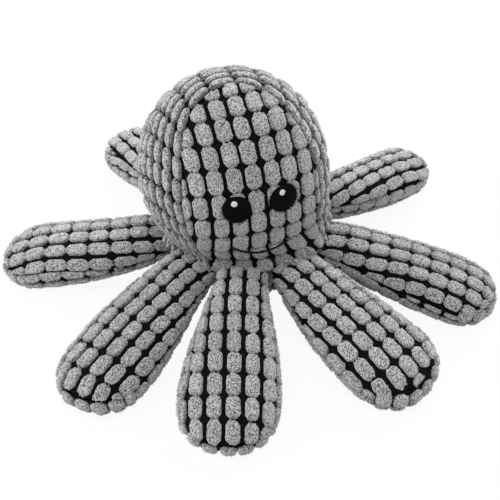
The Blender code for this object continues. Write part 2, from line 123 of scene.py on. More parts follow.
# How the cloth lies on each tentacle, in mm along it and round it: the rows, the place and
# pitch of the columns, how the rows slant, how the columns wander, how far the seam rolls
# round, and how far short of the tip the upper panel is sewn to the lower one
LAYOUT = {
    "front_left": (
        (10, 22.5, 34.5, 46, 58.2, 70.3, 83.3, 96.2, 109.5), 1.0, 9.9, 0.0,
        ((0, -4), (23, -2.9), (58, -0.3), (84, 1.5), (110, 3)),
        ((0, 0), (40, 4), (60, 9.5), (83, 10.5), (93, 7), (102, 1), (116, 0)), 2.5),
    "side_front_left": (
        (10.5, 21.5, 32, 43.4, 54.7, 66.9, 79.1, 92.2, 105), 5.0, 9.85, 0.11,
        ((0, 5.5), (22, 4.2), (43, 2.6), (55, 0.6), (67, -0.3), (92, -1.4), (104, -3.3)),
        ((0, 4), (50, 3), (75, -2.5), (88, -3.5), (104, -1), (116, 0)), 5.0),
    "side_back_left": (
        (2.5, 14.3, 25.5, 37.1, 50, 62, 75, 87, 98.2, 109), 0.8, 9.9, -0.05,
        ((0, 6.5), (25, 4.9), (37, 2.9), (50, 1.5), (62, 0), (76, -1.4), (87, -0.5), (98, 3.2)),
        ((0, 3), (40, 2), (73, -6.2), (85, -6), (100, -2.5), (112, 0)), 4.0),
    "back_left": (
        (11.5, 26, 40.4, 54.8, 69.5, 84.8, 99, 112), 5.6, 9.6, 0.0,
        ((40, 3), (55, 3), (69, 0), (85, -1)),
        ((0, 0), (59, -7.5), (77, -10), (100, -5), (116, 0)), 4.0),
    "back_right": (
        (9, 21.5, 34, 46.5, 59, 71.5, 84, 96.5, 109), 4.9, 9.9, 0.0,
        ((0, 0), (60, 1), (100, -1)), ((0, 0), (60, 3), (100, 2)), 4.0),
    "side_back_right": (
        (8.5, 22.5, 36.5, 51.3, 66.4, 81.5, 95.2, 109), 3.4, 9.9, 0.0,
        ((0, -10), (21, -8.4), (35, -4.8), (51, -1.8), (66, 0), (82, 0.3), (95, -3.2)),
        ((0, 0), (45, 2), (58, 3.2), (85, 4), (103, 1), (114, 0)), 4.0),
    "side_front_right": (
        (4, 16, 28.7, 41.5, 53.8, 65.6, 77.5, 88.4, 99.4, 110), -0.8, 10.25, -0.08,
        ((0, -8), (16, -6.4), (29, -6.2), (41, -4.1), (54, -1.4), (66, 0), (77, 0.5),
         (88, -0.5), (99, -1.4), (109, -2.5)),
        ((0, 0), (51, 2), (79, 2.5), (98, 0)), 6.0),
    "front_right": (
        (6.5, 16.5, 27.7, 37.8, 48.4, 59.4, 71, 83, 96, 108), 1.6, 10.35, 0.09,
        ((0, -2), (16, -1.9), (38, -1), (48, 0.1), (60, 0.3), (71, 0.3), (83, -1.3),
         (96, -3.4), (110, -5)),
        ((0, 0), (110, 0)), 9.0),
}

# The cloth
COLUMN_PITCH = 9.9
ROW_PITCH = 12.6
FACE_COLUMN_PITCH, FACE_ROW_PITCH = 10.6, 13.1
FACE_COLUMNS = np.array((-43.5, -32.9, -22.3, -12.0, -1.7, 8.9, 19.8, 32.0, 44.0))
STRIP_COLUMN_PITCH = 6.85
STRIP_SPREAD, STRIP_GATHER = 0.32, 0.30
STRIP_ROWS = np.array((0, 15.3, 30.4, 44.8, 57.4, 69.4, 82.8, 96, 109, 122, 135))
RIM_COLUMN_PITCH, RIM_ROW_PITCH = 9.8, 9.4
FILL_SHARE = 0.80
PILE_DEPTH = 1.9
PROUD = 0.4
SEAM_MARGIN = 0.5
CELL_SIDES = 17
CELL_LENGTHS = 23
TUFTS_PER_CELL = 170
OFF_FLOOR = 0.02


# Small helpers


def smooth(value):
    value = np.clip(value, 0.0, 1.0)
    return value * value * (3 - 2 * value)


def signed_power(value, power):
    return np.sign(value) * np.abs(value) ** power


def across_square(a, b, c, d, u, v):
    """The value at u, v in a square: its corners are a, b at v = 0 and c, d at v = 1."""
    return (a * (1 - u) + b * u) * (1 - v) + (c * (1 - u) + d * u) * v


def lattice(i, j, seed):
    """Repeatable values from 0 to 1 on a square lattice; large primes mix the bits."""
    h = (i.astype(np.int64) * 374761393 + j.astype(np.int64) * 668265263 + seed * 2147483647)
    h = (h ^ (h >> 13)) * 1274126177
    h = h ^ (h >> 16)
    return (h & 0xFFFFF) / float(0xFFFFF)


def noise(x, y, seed=0):
    """Smooth noise from -1 to 1 with a wavelength of about 2."""
    i, j = np.floor(x), np.floor(y)
    u, v = smooth(x - i), smooth(y - j)
    seed = np.asarray(seed, np.int64)
    corners = (lattice(i + di, j + dj, seed) for dj in (0, 1) for di in (0, 1))
    return 2 * across_square(*corners, u, v) - 1


def unit(vectors):
    """Vectors brought to a length of 1."""
    return vectors / np.maximum(np.linalg.norm(vectors, axis=-1, keepdims=True), 1e-9)


def run_along(line):
    """The length run along a line of points, or along each column of a table."""
    steps = np.linalg.norm(np.diff(line, axis=0), axis=-1)
    return np.concatenate((np.zeros((1, *steps.shape[1:])), np.cumsum(steps, axis=0)))


def read_off(even, run, line):
    """A line of points, read off at other places along its run."""
    return np.stack([np.interp(even, run, line[:, k]) for k in range(line.shape[1])], -1)


def moved(points, matrix):
    """Points carried along by a 4 x 4 matrix."""
    matrix = np.array(matrix)
    return points @ matrix[:3, :3].T + matrix[:3, 3]


def wrapped(degrees):
    """An angle brought to between -180 and 180 degrees."""
    return (degrees + 180) % 360 - 180


def polar(azimuth, radius, height):
    """Points by azimuth, which counts from -Y towards +X."""
    return np.stack((radius * np.sin(azimuth), -radius * np.cos(azimuth), height), -1)


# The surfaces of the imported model, over arrays


def lean(points):
    c, s = math.cos(-HEAD_LEAN), math.sin(-HEAD_LEAN)
    turn = np.array(((c, 0, s), (0, 1, 0), (-s, 0, c)))
    return points @ turn.T + HEAD_CENTRE


def ring_radius(azimuth):
    """The ring: a flat side for each root, and arcs between them."""
    radius = np.full_like(azimuth, RING_APOTHEM / math.cos(RING_CORNER))
    for row in TENTACLES:
        off = (azimuth - math.radians(row[1]) + np.pi) % (2 * np.pi) - np.pi
        flat = np.where(np.abs(off) < RING_CORNER, RING_APOTHEM / np.cos(off), radius)
        radius = np.minimum(radius, flat)
    return radius


def egg_point(azimuth, share):
    latitude = np.pi / 2 + share * (RING_LATITUDE - np.pi / 2)
    height = HEAD_HALF_HEIGHT * np.sin(latitude)
    return lean(polar(azimuth, HEAD_RADIUS * np.cos(latitude), height))


def head_point(azimuth, share):
    """The head's skin, by the share of the way from the crown down to the ring."""
    share = np.minimum(share, 1.0)
    egg = egg_point(azimuth, share)
    around = wrapped(np.degrees(azimuth))
    sag = np.interp(around, *OVERHANG) * (1 - 0.7 * smooth((share - 0.96) / 0.04))
    drawn = smooth((share - DRAW_IN_SHARE) / (RING_WALL_SHARE - DRAW_IN_SHARE))[..., None]
    level = smooth((share - DRAW_IN_SHARE) / (1 - DRAW_IN_SHARE))
    wall = polar(azimuth, ring_radius(azimuth) + sag, egg[..., 2])
    place = egg * (1 - drawn) + wall * drawn
    end = egg_point(azimuth, np.ones_like(azimuth))[..., 2]
    beside = smooth(1 - np.abs(around - STRETCH_AZIMUTH) / STRETCH_SPREAD)
    stretch = np.interp(share, *RIGHT_STRETCH) * beside
    return place + polar(azimuth, stretch, level * (RING_HEIGHT - end))


def direction_share(toward):
    azimuth = np.arctan2(toward[..., 0], -toward[..., 1])
    latitude = np.arcsin(np.clip(toward[..., 2], -1, 1))
    return azimuth, (np.pi / 2 - latitude) / (np.pi / 2 - RING_LATITUDE)


def side_view(side, theta, front):
    """Directions theta up from the level in side view, and turned out of it by side."""
    facing = -1.0 if front else 1.0
    level = facing * np.cos(side) * np.cos(theta)
    return np.stack((np.sin(side), level, np.cos(side) * np.sin(theta)), -1)


def seam_reach(seam, front):
    """How far out, as a share, the seam is at an angle up from the level in side view."""
    y, z = np.array(seam).T
    angle = np.arctan2(z, -y if front else y)
    order = np.argsort(angle)
    angle, reach = angle[order], np.hypot(y, z)[order]
    return lambda theta: np.interp(theta, angle, reach)


class Chart:
    """A patch of surface over cloth coordinates s, across the columns, and t, along them."""

    def __init__(self, s, t, points, centre, share=None, closed=False):
        self.s, self.t, self.points = s, t, points
        self.share, self.closed = share, closed
        normal = unit(np.cross(np.gradient(points, axis=1), np.gradient(points, axis=0)))
        away = points - centre
        self.normal = -normal if (normal * away).sum() < 0 else normal

    def sample(self, table, s, t):
        rows, cols = table.shape[:2]
        x = (s - self.s[0]) / (self.s[-1] - self.s[0])
        x = (x % 1.0 if self.closed else x) * (cols - 1)
        y = (t - self.t[0]) / (self.t[-1] - self.t[0]) * (rows - 1)
        x, y = np.clip(x, 0, cols - 1.001), np.clip(y, 0, rows - 1.001)
        i, j = x.astype(int), y.astype(int)
        u, v = (x - i)[..., None], (y - j)[..., None]
        corners = (table[j + dj, i + di] for dj in (0, 1) for di in (0, 1))
        return across_square(*corners, u, v)

    def at(self, s, t):
        return self.sample(self.points, s, t), unit(self.sample(self.normal, s, t))


# Angles on the head count as lengths at this radius
ANGLE_RADIUS = 53.5


def arc_length(degrees):
    return np.radians(degrees) * ANGLE_RADIUS


def head_chart(front):
    """Face or back: columns run up and down, rows level."""
    t = arc_length(np.linspace(-74, 96, 220))
    s = arc_length(np.linspace(-62, 62, 160))
    theta, side = np.meshgrid(t / ANGLE_RADIUS, s / ANGLE_RADIUS, indexing="ij")
    azimuth, share = direction_share(side_view(side, theta, front))
    return Chart(s, t, head_point(azimuth, share), HEAD_CENTRE, share)


STRIP_WIDTH = 68.0
STRIP_REACH = 143.0
BEYOND_RING = 1.2


def strip_border(seam, front):
    """One long seam as even directions, from the crown down to the ring on the right side."""
    top = math.radians(FACE_TOP if front else BACK_TOP)
    theta = np.linspace(top, math.radians(SEAM_FOOT), 400)
    side = np.arccos(np.clip(seam_reach(seam, front)(theta), 0, 1))
    side[0] = 0.0
    line = side_view(side, theta, front)
    run = run_along(line)
    _, share = direction_share(line)
    last = run[np.argmax(share > 1.0)] if (share > 1.0).any() else run[-1]
    return read_off(np.linspace(0, last, 200), run, line)


def strip_chart():
    """The long side strip: columns run along it, over the crown."""
    fore, aft = strip_border(FACE_SEAM, True), strip_border(BACK_SEAM, False)
    width = np.linspace(0, 1, 90)[None, :, None]
    swing = np.arccos(np.clip((fore * aft).sum(-1), -1, 1))[:, None, None]
    right = unit(np.sin((1 - width) * swing) * fore[:, None] + np.sin(width * swing) * aft[:, None])
    left = right * np.array((-1.0, 1.0, 1.0))
    azimuth, share = direction_share(np.concatenate((left[:0:-1], right)))
    points = head_point(azimuth, share)
    run = run_along(points)
    run -= run[len(left) - 1]
    even = np.linspace(-STRIP_REACH, STRIP_REACH, 320)
    table, shares = [], []
    for k in range(width.size):
        table.append(read_off(even, run[:, k], points[:, k]))
        past_end = (even > run[-1, k]) | (even < run[0, k])
        shares.append(np.where(past_end, BEYOND_RING, np.interp(even, run[:, k], share[:, k])))
    return Chart(width.ravel() * STRIP_WIDTH, even, np.stack(table, 1), HEAD_CENTRE,
                 np.stack(shares, 1))


BASE_REACH = 64.0


def base_chart():
    """The base panel, flat in its middle and curved up to the ring, and how far out it goes."""
    line = np.linspace(-BASE_REACH, BASE_REACH, 150)
    t, s = np.meshgrid(line, line, indexing="ij")
    out, azimuth = np.hypot(s, t), np.arctan2(s, -t)
    turn = np.linspace(0, np.pi / 2, 60)
    middle = RING_APOTHEM * 1.01 - BASE_FLAT_RADIUS
    arc = run_along(np.stack((middle * np.sin(turn), RING_HEIGHT * (1 - np.cos(turn))), -1))
    angle = np.interp(out - BASE_FLAT_RADIUS, arc, turn)
    flat = out < BASE_FLAT_RADIUS
    curved = BASE_FLAT_RADIUS + (ring_radius(azimuth) - BASE_FLAT_RADIUS) * np.sin(angle)
    points = polar(azimuth, np.where(flat, out, curved), RING_HEIGHT * (1 - np.cos(angle)))
    chart = Chart(line, line, points, np.array((0, 0, RING_HEIGHT)))
    chart.normal[flat] = (0, 0, -1)
    return chart, BASE_FLAT_RADIUS + arc[-1]


def tip_rounding(left, length):
    """How much of its size is left at a distance from the tip, from 0 to 1."""
    bend = np.abs(1 - np.minimum(left, length) / length) ** TIP_POWER
    return np.where(left >= length, 1.0, np.maximum(0.0, 1 - bend) ** (1 / TIP_POWER))


def root_width(root, root_share):
    """The width of a root, kept within the room that its nearest neighbour leaves."""
    others = [abs(wrapped(root - row[1])) for row in TENTACLES if row[1] != root]
    room = 2 * (HINGE_RADIUS + ROOT_ROOM) * math.tan(math.radians(min(others)) / 2)
    return min(ROOT_WIDTH * root_share, room)


RIM_REACH = 33.0
RIM_BAND = 13.0
RIM_INWARD = 14.0
RIM_MIDDLE = 16.0


class Limb:
    """Full skin of one tentacle; s runs round it from the middle of its top, in quarters."""

    def __init__(self, root, tip, reach_share, width_share, sway, root_share):
        azimuth, sweep = math.radians(root), math.radians(tip - root)
        radius = SPAN / 2 * reach_share
        drop = RING_HEIGHT - THICKNESS / 2 + FLOOR_PRESS
        self.slope = math.asin(drop / ((radius - HINGE_RADIUS) * BELLY_SHARE))
        self.reach = (radius * math.cos(sweep) - HINGE_RADIUS) / math.cos(self.slope)
        self.aside, self.sway = radius * math.sin(sweep), sway
        hinge = polar(azimuth, HINGE_RADIUS, RING_HEIGHT)
        self.seat = (Matrix.Translation(hinge) @ Matrix.Rotation(azimuth - math.pi / 2, 4, "Z")
                     @ Matrix.Rotation(self.slope, 4, "Y"))
        self.lay_outline(root_width(root, root_share), BELLY_WIDTH * width_share)
        self.lay_skin()
        self.lay_rim()
        # the head sags over this much of it
        self.covered = float(np.interp(wrapped(root), *OVERHANG)) - 5.0

    def lay_outline(self, start, belly):
        """Half its width and half its height, by t, the length run over the middle of its top."""
        ease = np.linspace(0, 1, 500)
        x = self.reach * (1 - (1 - ease) ** 2.2) * 0.9995 - ROOT_TUCK * (1 - ease) ** 12
        swell = np.sin(np.clip(x / ROOT_SWELL, 0, 1) * np.pi / 2) ** ROOT_FULLNESS
        high = ROOT_RADIUS + (THICKNESS / 2 - ROOT_RADIUS) * swell
        high = high * tip_rounding(self.reach - x, TIP_THICKNESS_ROUNDING)
        run = run_along(np.stack((x, high), -1))
        self.length = run[-1]
        self.t = np.linspace(0, self.length, 260)
        self.x, self.high = np.interp(self.t, run, x), np.interp(self.t, run, high)
        grown = np.sin(np.clip(self.x / (self.reach * BELLY_SHARE), 0, 1) * np.pi / 2)
        wide = (start + (belly - start) * grown ** WIDENING) / 2
        self.wide = wide * tip_rounding(self.reach - self.x, TIP_WIDTH_ROUNDING)

    def put(self, x, y, z):
        """Points of the straight limb, swung and swayed aside and set at the root."""
        share = np.maximum(0.0, x / self.reach)
        size = np.hypot(self.reach, 2 * self.aside * share)
        px = x - 2 * self.aside * share / size * y
        py = self.aside * share ** 2 + 4 * self.sway * share * (1 - share) + self.reach / size * y
        floor = (px * math.sin(self.slope) - RING_HEIGHT) / math.cos(self.slope)
        return moved(np.stack((px, py, np.maximum(z, floor)), -1), self.seat)

    def lay_skin(self):
        turn = np.linspace(0, 2 * np.pi, 721)
        circle = np.stack((np.cos(turn), np.sin(turn)), -1)
        section = signed_power(circle, 2 / SECTION_POWER)
        quarters = np.linspace(-2, 2, 320)
        points, self.quarter = [], []
        for x, wide, high in zip(self.x, self.wide, self.high):
            line = section * (wide, high)
            arc = run_along(line)
            quarter = arc[-1] / 4
            self.quarter.append(quarter)
            # from the top middle towards +y is clockwise, that is towards the start
            place = (quarter - quarters * quarter) % arc[-1]
            points.append(self.put(x, *read_off(place, arc, line).T))
        spine = self.put(self.x, 0.0, 0.0)[:, None]
        self.chart = Chart(quarters, self.t, np.array(points), spine, closed=True)

    def lay_rim(self):
        """The edge of the tip: s runs over it from top to bottom, t along the outline."""
        x, wide = self.x, self.wide
        outline = np.stack(([*x, self.reach, *x[::-1]], [*-wide, 0, *wide[::-1]]), -1)
        run = run_along(outline)
        run -= run[len(x)]
        t = np.linspace(-RIM_REACH - 2, RIM_REACH + 2, 110)
        edge_x, edge_y = read_off(t, run, outline).T
        away = unit(np.stack((np.gradient(edge_y, t), -np.gradient(edge_x, t)), -1))
        inward = np.linspace(0, 1, 60)[None] ** 2 * RIM_INWARD
        px = edge_x[:, None] - away[:, :1] * inward
        py = edge_y[:, None] - away[:, 1:] * inward
        across = np.abs(py) / np.maximum(np.interp(px, x, wide), 0.1)
        dome = np.maximum(0, 1 - across ** SECTION_POWER) ** (1 / SECTION_POWER)
        rise = np.interp(px, x, self.high) * dome
        rise[:, 0] = 0.0
        px, py = (np.concatenate((a[:, :0:-1], a), 1) for a in (px, py))
        rise = np.concatenate((rise[:, :0:-1], -rise), 1)
        even = np.linspace(-RIM_BAND, RIM_BAND, 60)
        table = []
        for line in self.put(px, py, rise):
            run = run_along(line)
            table.append(read_off(even, run - run[inward.size - 1], line))
        middle = self.put(self.reach - RIM_MIDDLE, 0.0, 0.0)
        self.rim = Chart(even, t, np.array(table), middle)
        self.rim_start = np.interp(np.interp(RIM_REACH, t, edge_x), x, self.t)

    def quarter_at(self, t):
        return np.interp(t, self.t, self.quarter)

    def depth_at(self, t):
        return np.minimum(PILE_DEPTH, 0.7 * np.interp(t, self.t, self.high) + 0.1)


# Materials


def fill_inputs(node, inputs):
    """Sets each input to its value, or links it where that is another node's output."""
    for key, value in inputs.items():
        if isinstance(value, bpy.types.NodeSocket):
            node.id_data.links.new(value, node.inputs[key])
        else:
            node.inputs[key].default_value = value


def add_node(tree, kind, inputs, **settings):
    node = tree.nodes.new(f"ShaderNode{kind}")
    for key, value in settings.items():
        setattr(node, key, value)
    fill_inputs(node, inputs)
    return node


def new_material(name, roughness, gloss):
    material = bpy.data.materials.new(name)
    material.use_nodes = True
    tree = material.node_tree
    shader = tree.nodes["Principled BSDF"]
    fill_inputs(shader, {"Roughness": roughness, "Specular IOR Level": gloss})
    return material, tree, shader


def map_range(tree, value, low, high, to_low=0.0, to_high=1.0):
    limits = {"From Min": low, "From Max": high, "To Min": to_low, "To Max": to_high}
    return add_node(tree, "MapRange", {"Value": value, **limits}).outputs["Result"]


def colour_between(tree, share, dark, light):
    mix = add_node(tree, "Mix", {}, data_type="RGBA")
    fill_inputs(mix, {"A": (*dark, 1), "B": (*light, 1), "Factor": share})
    return mix.outputs["Result"]


def add_bump(tree, shader, height, strength, distance):
    bump = add_node(tree, "Bump", {"Strength": strength, "Distance": distance, "Height": height})
    fill_inputs(shader, {"Normal": bump.outputs["Normal"]})


def pile_material(name, dark, light):
    """Cut pile: fine pits and streaks that follow the nap of each cell, with painted shade in the
    pits and down the flanks of each cell.
    """
    material, tree, shader = new_material(name, 0.95, 0.15)
    fill_inputs(shader, {"Sheen Weight": 1.0, "Sheen Roughness": 0.5})
    grain, tint, body = (add_node(tree, "Attribute", {}, attribute_name=key)
                         for key in ("grain", "tint", "body"))
    streaks = {"Scale": 1.6, "Detail": 2.0, "Roughness": 0.7, "Vector": grain.outputs["Vector"]}
    pits = add_node(tree, "TexNoise", streaks)
    # the specks are darkest where the bump below sinks: the pile's own dark speckle with painted
    # shade in those hollows
    speck = map_range(tree, pits.outputs["Fac"], 0.41, 0.56)
    shade = map_range(tree, tint.outputs["Fac"], 0.0, 1.0, 0.86, 1.12)
    # painted shade: the body attribute, how far up its cell a point lies, darkens each cell down
    # its flanks towards the gaps between cells
    painted_gap_shade = map_range(tree, body.outputs["Fac"], 0.0, 0.5, 0.40, 1.0)
    both = add_node(tree, "Math", {0: shade, 1: painted_gap_shade}, operation="MULTIPLY")
    colour = colour_between(tree, speck, dark, light)
    scale = add_node(tree, "VectorMath", {}, operation="SCALE")
    fill_inputs(scale, {"Vector": colour, "Scale": both.outputs["Value"]})
    fill_inputs(shader, {"Base Color": scale.outputs["Vector"]})
    add_bump(tree, shader, pits.outputs["Fac"], 1.0, 0.0011)
    return material


def fine_material(name, dark, light, roughness, gloss, texture, pattern, depth):
    """Loops or threads: one fine texture gives both the colour and the bump."""
    material, tree, shader = new_material(name, roughness, gloss)
    place = add_node(tree, "TexCoord", {})
    fine = add_node(tree, texture, {**pattern, "Vector": place.outputs["Object"]})
    fill_inputs(shader, {"Base Color": colour_between(tree, fine.outputs["Fac"], dark, light)})
    add_bump(tree, shader, fine.outputs["Fac"], 0.5, depth)
    return material


def ground_material(name, dark, light):
    """Knitted ground: fine loops, nearly black."""
    loops = {"Scale": 1400.0, "Detail": 2.0}
    return fine_material(name, dark, light, 0.9, 0.08, "TexNoise", loops, 0.0003)


def thread_material(name, dark, light, roughness, gloss, scale):
    """Satin stitches: fine parallel threads with their own gloss."""
    threads = {"Scale": scale, "Distortion": 3.0, "Detail": 2.0, "Detail Scale": 2.0}
    return fine_material(name, dark, light, roughness, gloss, "TexWave", threads, 0.0002)


PILE = pile_material("grey_pile", (0.05, 0.05, 0.05), (0.65, 0.65, 0.65))
GROUND = ground_material("ground_knit", (0.0014, 0.0014, 0.00145), (0.0065, 0.0065, 0.0067))
BLACK = thread_material(
    "black_thread", (0.0006, 0.0006, 0.0006), (0.0055, 0.0055, 0.0056), 0.45, 0.03, 700)
MOUTH_BLACK = thread_material(
    "mouth_thread", (0.004, 0.004, 0.004), (0.010, 0.010, 0.010), 0.6, 0.1, 900)
WHITE = thread_material("white_thread", (0.75, 0.75, 0.75), (0.92, 0.92, 0.92), 0.5, 0.2, 900)


# Building cloth


def add_mesh(name, points, faces, material, attributes=None):
    """A mesh of four-sided faces from points in mm, with its attributes by point."""
    mesh = bpy.data.meshes.new(name)
    mesh.vertices.add(len(points))
    mesh.vertices.foreach_set("co", (np.asarray(points) / 1000).astype(np.float32).ravel())
    faces = np.asarray(faces, np.int32)
    mesh.loops.add(faces.size)
    mesh.loops.foreach_set("vertex_index", faces.ravel())
    mesh.polygons.add(len(faces))
    mesh.polygons.foreach_set("loop_start", np.arange(0, faces.size, 4, dtype=np.int32))
    mesh.update(calc_edges=True)
    mesh.validate()
    mesh.shade_smooth()
    for key, values in (attributes or {}).items():
        kind, field = ("FLOAT_VECTOR", "vector") if values.ndim == 2 else ("FLOAT", "value")
        layer = mesh.attributes.new(key, kind, "POINT")
        layer.data.foreach_set(field, values.astype(np.float32).ravel())
    mesh.materials.append(material)
    obj = bpy.data.objects.new(name, mesh)
    bpy.context.scene.collection.objects.link(obj)
    return obj


def grid_faces(rows, cols, blocks=1, closed=False):
    """Faces of some grids of points; the rows of a closed grid are rings."""
    index = np.arange(blocks * rows * cols).reshape(blocks, rows, cols)
    after = np.roll(index, -1, axis=2)
    if not closed:
        index, after = index[:, :, :-1], after[:, :, :-1]
    quads = (index[:, :-1], after[:, :-1], after[:, 1:], index[:, 1:])
    return np.stack(quads, -1).reshape(-1, 4)


def faced_out(faces, points, normal):
    """The faces, wound the other way if those of this grid of points face inwards."""
    row, col = points.shape[0] // 2, points.shape[1] // 2
    across = points[row, col + 1] - points[row, col]
    along = points[row + 1, col] - points[row, col]
    inwards = (np.cross(across, along) * normal[row, col]).sum() < 0
    return faces[:, ::-1] if inwards else faces


# One cut panel of cloth: its place, the limits that its seams set, and its depth
Sheet = namedtuple("Sheet", "place low high t_range depth")

# Half the width of a cell, by the share of the way from its middle to its end
END_SHAPE = (
    (0.0, 0.45, 0.58, 0.66, 0.74, 0.82, 0.90, 0.96, 1.0),
    (1.0, 1.0, 0.985, 0.93, 0.83, 0.71, 0.58, 0.47, 0.36),
)
CELL_LENGTH_SHARE = 0.975
LEAST_WIDTH = 1.2


def cell_sides(sheet, t, s0, t0, half_w, half_l):
    """The two sides of cells at t, cut off where a seam runs."""
    half = half_w * np.interp(np.abs(t - t0) / half_l, *END_SHAPE)
    low = np.maximum(s0 - half, sheet.low(t) + SEAM_MARGIN)
    high = np.minimum(s0 + half, sheet.high(t) - SEAM_MARGIN)
    return low, high


def lay_cells(sheet, columns, rows, rng, slant, least, fill):
    """The cells of a panel: middle, half width and length, and the part that seams leave."""
    rows = np.asarray(rows, float)
    s0, t0 = (a.ravel() for a in np.meshgrid(columns, rows))
    half_l = np.repeat(np.abs(np.gradient(rows)), len(columns)) / 2 * CELL_LENGTH_SHARE
    s0 = s0 + rng.normal(0, 0.16, len(s0))
    t0 = t0 + slant * s0 + rng.normal(0, 0.22, len(t0))
    half_w = np.tile(np.abs(np.gradient(columns)), len(rows)) / 2 * fill
    half_w = half_w * (1 + rng.normal(0, 0.02, len(s0)))
    half_l = half_l * (1 + rng.normal(0, 0.015, len(s0)))
    s0, t0, half_w, half_l = (a[:, None] for a in (s0, t0, half_w, half_l))
    scan = np.linspace(-1, 1, 61)
    t = t0 + half_l * scan
    low, high = cell_sides(sheet, t, s0, t0, half_w, half_l)
    t_low, t_high = sheet.t_range(s0)
    free = (high - low > LEAST_WIDTH) & (t > t_low) & (t < t_high)
    begin = scan[free.argmax(1)][:, None]
    end = scan[::-1][free[:, ::-1].argmax(1)][:, None]
    middle, reach = t0 + half_l * (begin + end) / 2, half_l * (end - begin) / 2
    keep = free.any(1) & (2 * reach > least)[:, 0]
    return (a[keep] for a in (s0, t0, half_w, half_l, middle, reach))


def pad_profile(count, power):
    """Places across a cell from -1 to 1, and its height there: flat on top, steep at the rim."""
    even = np.linspace(-1, 1, count)
    place = np.sign(even) * (1 - (1 - np.abs(even)) ** 1.55)
    return place, np.maximum(0, 1 - np.abs(place) ** power) ** (1 / power)


def tufts(grid, wide, rng, length):
    """Short blades of cut fibre that stand out of every cell and roughen its rim."""
    count, lengths, sides = grid.shape[:3]
    area = np.clip(wide.max(1) / 9.0, 0.15, 1.0)
    each = np.maximum(8, (TUFTS_PER_CELL * area)).astype(int)
    cell = np.repeat(np.arange(count), each)
    total = len(cell)
    row = 0.5 + (lengths - 2) * rng.random(total)
    turn = rng.random(total) - 0.5
    col = (sides - 1) * (0.5 + signed_power(2 * turn, 0.85) * 0.47)
    i, j = row.astype(int), col.astype(int)
    a, b = grid[cell, i, j], grid[cell, i, j + 1]
    c, d = grid[cell, i + 1, j], grid[cell, i + 1, j + 1]
    foot = across_square(a, b, c, d, (col - j)[:, None], (row - i)[:, None])
    normal = unit(np.cross(b - a, c - a))
    height = grid[:, lengths // 2, sides // 2] - grid[:, lengths // 2, 0]
    outward = (height[cell] * normal).sum(1, keepdims=True)
    normal *= np.where(outward < 0, -1, 1)
    across = unit(b - a)
    along = np.cross(normal, across)
    heading = rng.uniform(0, 2 * np.pi, (total, 1))
    side = np.cos(heading) * across + np.sin(heading) * along
    flat = np.cos(heading) * along - np.sin(heading) * across
    blade = normal * rng.uniform(0.35, 0.9, (total, 1)) + side * rng.uniform(0.2, 0.9, (total, 1))
    blade *= rng.uniform(0.55, 1.0, (total, 1)) * length
    half = flat * rng.uniform(0.16, 0.30, (total, 1))
    foot = foot - normal * 0.12
    tip = foot + blade
    corners = np.stack((foot - half, foot + half, tip + half * 0.35, tip - half * 0.35), 1)
    corners = corners.reshape(-1, 3)
    corners[:, 2] = np.maximum(corners[:, 2], OFF_FLOOR)
    # blades get a body near 1, so they carry little of the painted flank shade
    looks = {"tint": np.repeat(rng.uniform(0, 1, total), 4),
             "body": np.repeat(rng.uniform(0.45, 1.0, total), 4),
             "grain": np.repeat(rng.uniform(0, 400, (total, 3)), 4, axis=0)}
    return corners, np.arange(total * 4).reshape(-1, 4), looks


